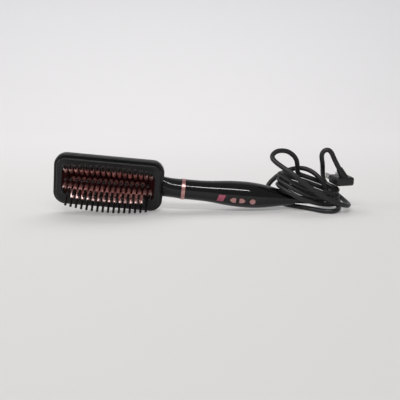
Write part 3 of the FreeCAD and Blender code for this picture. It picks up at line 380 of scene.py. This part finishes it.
def tooth_tree():
    """A row of tapered round teeth with sloped shoulders, each with an eye through it along the paddle's width."""
    tree, given = new_tree("eyed_tooth_row", {
        "Count": 17, "Pitch": PITCH * MM, "Half row": HALF_ROW * MM, "Fall": FALL * MM, "Row height": 0.0, "Fan": 0.0,
        "Length": TOOTH_LENGTH * MM, "Sink": SINK * MM, "Root radius": 2.3 * MM, "End radius": 2.1 * MM,
        "Shoulder": 1.6 * MM, "Shoulder radius": 1.45 * MM,
        "Eye width": 2.1 * MM, "Eye length": 4.6 * MM, "Eye place": 4.6 * MM})
    points, drop = row_points(tree, given)
    straight = sum_of(tree, "SUBTRACT", given["Length"], given["Shoulder"])
    depth = sum_of(tree, "ADD", straight, given["Sink"])
    taper = add(tree, "GeometryNodeMeshCone", {"Radius Bottom": given["Root radius"],
                                               "Radius Top": given["End radius"], "Depth": depth},
                {"Vertices": TOOTH_SIDES})
    raised = add(tree, "GeometryNodeExtrudeMesh", {"Mesh": taper.outputs["Mesh"], "Selection": taper.outputs["Top"],
                                                   "Offset Scale": given["Shoulder"]}, {"Individual": False})
    narrowing = sum_of(tree, "DIVIDE", given["Shoulder radius"], given["End radius"])
    shoulder = add(tree, "GeometryNodeScaleElements", {"Geometry": raised.outputs["Mesh"],
                                                       "Selection": raised.outputs["Top"], "Scale": narrowing})
    below = add(tree, "ShaderNodeCombineXYZ", {"Z": sum_of(tree, "MULTIPLY", given["Sink"], -1.0)})
    sunk = add(tree, "GeometryNodeTransform", {"Geometry": shoulder.outputs["Geometry"],
                                               "Translation": below.outputs["Vector"]})
    bar = add(tree, "GeometryNodeMeshCylinder", {"Depth": given["Length"]}, {"Vertices": EYE_SIDES, "Radius": 0.5})
    size = add(tree, "ShaderNodeCombineXYZ", {"X": given["Eye width"], "Y": given["Eye length"]}, {"Z": 1.0})
    place = add(tree, "ShaderNodeCombineXYZ", {"Z": given["Eye place"]})
    eye = add(tree, "GeometryNodeTransform", {"Geometry": bar.outputs["Mesh"], "Scale": size.outputs["Vector"],
                                              "Translation": place.outputs["Vector"]},
              {"Rotation": Euler((math.pi / 2, 0, 0))})
    pierced = add(tree, "GeometryNodeMeshBoolean", {"Mesh 1": sunk.outputs["Geometry"],
                                                    "Mesh 2": eye.outputs["Geometry"]}, operation="DIFFERENCE")
    shaded = smooth_sides(tree, pierced.outputs["Mesh"])
    stretch = sum_of(tree, "SUBTRACT", 1.0, sum_of(tree, "DIVIDE", drop, given["Length"]))
    scale = add(tree, "ShaderNodeCombineXYZ", {"Z": stretch}, {"X": 1.0, "Y": 1.0})
    teeth = add(tree, "GeometryNodeInstanceOnPoints", {"Points": points, "Instance": shaded,
                                                       "Scale": scale.outputs["Vector"]})
    close_tree(tree, given, teeth.outputs["Instances"])
    return tree


def tip_tree():
    """A row of tapered stems with ball ends, each standing on its tooth."""
    tree, given = new_tree("ball_tip_row", {
        "Count": 17, "Pitch": PITCH * MM, "Half row": HALF_ROW * MM, "Fall": FALL * MM, "Row height": 0.0, "Fan": 0.0,
        "Base": TOOTH_LENGTH * MM, "Length": TIP_LENGTH * MM, "Root radius": 1.5 * MM, "End radius": 1.25 * MM,
        "Ball radius": 1.5 * MM})
    points, drop = row_points(tree, given)
    base = sum_of(tree, "SUBTRACT", given["Base"], drop)
    reach = sum_of(tree, "SUBTRACT", given["Length"], drop)
    lift = add(tree, "ShaderNodeCombineXYZ", {"Z": base})
    stem = add(tree, "GeometryNodeMeshCone", {"Radius Bottom": given["Root radius"],
                                              "Radius Top": given["End radius"], "Depth": given["Length"]},
               {"Vertices": TIP_SIDES})
    stretch = add(tree, "ShaderNodeCombineXYZ", {"Z": sum_of(tree, "DIVIDE", reach, given["Length"])},
                  {"X": 1.0, "Y": 1.0})
    held = add(tree, "GeometryNodeCaptureAttribute", {"Geometry": points})
    held.capture_items.new("VECTOR", "Stretch")
    held.capture_items.new("VECTOR", "Foot")
    held.capture_items.new("VECTOR", "End")
    end = add(tree, "ShaderNodeCombineXYZ", {"Z": sum_of(tree, "ADD", base, reach)})
    tree.links.new(stretch.outputs["Vector"], held.inputs["Stretch"])
    tree.links.new(lift.outputs["Vector"], held.inputs["Foot"])
    tree.links.new(end.outputs["Vector"], held.inputs["End"])
    foot = add(tree, "GeometryNodeSetPosition", {"Geometry": held.outputs["Geometry"],
                                                 "Offset": held.outputs["Foot"]})
    stems = add(tree, "GeometryNodeInstanceOnPoints", {"Points": foot.outputs["Geometry"],
                                                       "Instance": stem.outputs["Mesh"],
                                                       "Scale": held.outputs["Stretch"]})
    top = add(tree, "GeometryNodeSetPosition", {"Geometry": held.outputs["Geometry"], "Offset": held.outputs["End"]})
    ball = add(tree, "GeometryNodeMeshUVSphere", {"Radius": given["Ball radius"]},
               {"Segments": TIP_SIDES, "Rings": BALL_RINGS})
    balls = add(tree, "GeometryNodeInstanceOnPoints", {"Points": top.outputs["Geometry"],
                                                       "Instance": ball.outputs["Mesh"]},
                {"Rotation": Euler((0, 0, BALL_TURN))})
    both = add(tree, "GeometryNodeMeshBoolean", operation="UNION", solver="EXACT")
    for half in (stems, balls):
        whole = add(tree, "GeometryNodeRealizeInstances", {"Geometry": half.outputs["Instances"]})
        tree.links.new(whole.outputs["Geometry"], both.inputs["Mesh 2"])
    close_tree(tree, given, smooth_sides(tree, both.outputs["Mesh"]))
    return tree


def tooth_field():
    """Four rows of teeth with their tips, and the plain pins at the ends of the second and fourth rows."""
    teeth, tips = tooth_tree(), tip_tree()
    for row, (count, pinned) in enumerate(ROWS):
        height = (HEAD_LIFT + (MIDDLE_ROW - row) * ROW_PITCH) * MM
        same = {"Count": count, "Row height": height, "Fan": (row / MIDDLE_ROW - 1) * FAN}
        for kind, tree, finish, slot in (("teeth_row", teeth, tooth_gold_painted_light, "rose_gold"),
                                         ("cool_tips", tips, tip_nylon, "tip_black")):
            piece = plain_mesh(f"round_{kind}_{row + 1}", tree, same, finish)
            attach(piece, "brush")
            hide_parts(f"{kind}_{row + 1}")
        if pinned:
            drop = FALL * (PIN_SPAN / 2 * PITCH / HALF_ROW) ** 2
            pins = plain_mesh(f"round_guard_pins_{row + 1}", tips, {
                **same, "Count": 2, "Pitch": PIN_SPAN * PITCH * MM, "Base": -SINK * MM, "Fall": 0.0,
                "Length": (SINK + TOOTH_LENGTH + TIP_LENGTH - 2 * drop) * MM}, tip_nylon)
            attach(pins, "brush")
            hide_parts("guard_pins")


tooth_field()


# The sweep, in metres, and its painted glow: near and far places along Y with their tones, darker at the front as
# painted shade and lighter towards the wall as painted light
SWEEP_FRONT = -10.0
SWEEP_HALF_WIDTH = 5.0
BEND_START = 0.9
BEND_RADIUS = 0.8
BEND_STEPS = 12
WALL_TOP = 4.0
TONE_NEAR, TONE_FAR = -0.4, 1.6
GLOW_STRENGTH = 1.7
GLOW_SHARE = 0.3


def sweep():
    """Seamless pale sweep: floor, a wide bend and a back wall. Seen directly and in gloss it partly glows as painted
    light, darker at the front as painted shade and lighter towards the wall.
    """
    rows = [(SWEEP_FRONT, 0.0), (BEND_START, 0.0)]
    for k in range(1, BEND_STEPS + 1):
        angle = math.pi / 2 / BEND_STEPS * k
        rows.append((BEND_START + BEND_RADIUS * math.sin(angle), BEND_RADIUS - BEND_RADIUS * math.cos(angle)))
    rows.append((BEND_START + BEND_RADIUS, WALL_TOP))
    corners = [(x, y, z) for y, z in rows for x in (-SWEEP_HALF_WIDTH, SWEEP_HALF_WIDTH)]
    faces = [(2 * k, 2 * k + 1, 2 * k + 3, 2 * k + 2) for k in range(len(rows) - 1)]
    mesh = bpy.data.meshes.new("sweep")
    mesh.from_pydata(corners, [], faces)
    mesh.shade_smooth()
    material = bpy.data.materials.new("sweep_paper_painted_glow")
    material.use_nodes = True
    tree = material.node_tree
    tree.nodes.clear()
    lit = add(tree, "ShaderNodeBsdfDiffuse", None, {"Color": linear("#d0cecd")})
    place = add(tree, "ShaderNodeTexCoord").outputs["Object"]
    depth = add(tree, "ShaderNodeSeparateXYZ", {"Vector": place}).outputs["Y"]
    far = add(tree, "ShaderNodeMapRange", {"Value": depth}, {"From Min": TONE_NEAR, "From Max": TONE_FAR})
    # Painted shade and light: the glowing tone darkens towards the front and brightens towards the back wall
    tone = add(tree, "ShaderNodeMix", {"Factor": far.outputs["Result"]}, data_type="RGBA")
    tone.inputs["A"].default_value = linear("#969493")
    tone.inputs["B"].default_value = linear("#f3f3f7")
    # The sweep glows as painted light where the camera or gloss sees it
    plain = add(tree, "ShaderNodeEmission", {"Color": tone.outputs["Result"]}, {"Strength": GLOW_STRENGTH})
    ray = add(tree, "ShaderNodeLightPath").outputs
    seen = sum_of(tree, "MAXIMUM", ray["Is Camera Ray"],
                  sum_of(tree, "MAXIMUM", ray["Is Glossy Ray"], ray["Is Transmission Ray"]))
    part = sum_of(tree, "MULTIPLY", seen, GLOW_SHARE)
    mix = add(tree, "ShaderNodeMixShader", {0: part, 1: lit.outputs["BSDF"], 2: plain.outputs["Emission"]})
    add(tree, "ShaderNodeOutputMaterial", {"Surface": mix.outputs["Shader"]})
    mesh.materials.append(material)
    floor = bpy.data.objects.new("sweep", mesh)
    scene.collection.objects.link(floor)


sweep()


def lamp(name, place, target, size, power, mirrored=True):
    """A soft rectangular lamp aimed at a point; one that isn't mirrored lights the scene but shows in no gloss."""
    light = bpy.data.lights.new(name, "AREA")
    light.shape = "RECTANGLE"
    light.size, light.size_y = size
    light.energy = power
    item = bpy.data.objects.new(name, light)
    item.location = place
    item.visible_glossy = mirrored
    item.rotation_euler = (Vector(target) - Vector(place)).to_track_quat("-Z", "Y").to_euler()
    scene.collection.objects.link(item)


MIDDLE = (0.0, 0.0, 0.03)
HEAD = (-0.1, 0.0, 0.03)
lamp("overhead_box", place=(0.0, 0.82, 1.2), target=MIDDLE, size=(1.8, 0.9), power=16.0, mirrored=False)
# The strip draws the narrow bright line along the handle
lamp("front_strip", place=(-0.1, -0.75, 0.9), target=MIDDLE, size=(1.0, 0.08), power=7.3)
lamp("left_fill", place=(-1.5, -0.1, 0.75), target=HEAD, size=(0.9, 0.7), power=6.5)
WORLD_STRENGTH = 0.3
world = bpy.data.worlds.new("studio")
scene.world = world
world.use_nodes = True
sky = world.node_tree.nodes["Background"].inputs
sky["Color"].default_value = linear("#f4f3f3")
sky["Strength"].default_value = WORLD_STRENGTH


# The photograph's camera: pixels of width and focal length, angles, and millimetres
PICTURE_WIDTH = 400
FOCAL_PIXELS = 600
SENSOR_WIDTH = 36.0
CAMERA_ELEVATION = math.radians(12.18)
CAMERA_AZIMUTH = math.radians(3.10)
CAMERA_TARGET = Vector((15.94, 2.24, 14.0)) * MM
CAMERA_DISTANCE = 692.6


def camera():
    """Camera at the photograph's viewing angle."""
    turn = Euler((CAMERA_ELEVATION, 0, 0)).to_matrix() @ Euler((0, 0, CAMERA_AZIMUTH)).to_matrix()
    back = turn.inverted()
    lens = bpy.data.cameras.new("photo_camera")
    lens.sensor_fit = "HORIZONTAL"
    lens.sensor_width = SENSOR_WIDTH
    lens.lens = SENSOR_WIDTH * FOCAL_PIXELS / PICTURE_WIDTH
    item = bpy.data.objects.new("photo_camera", lens)
    place = CAMERA_TARGET - back @ Vector((0, CAMERA_DISTANCE * MM, 0))
    upright = Euler((math.pi / 2, 0, 0)).to_matrix()
    item.matrix_world = Matrix.Translation(place) @ (back @ upright).to_4x4()
    scene.collection.objects.link(item)
    scene.camera = item


camera()
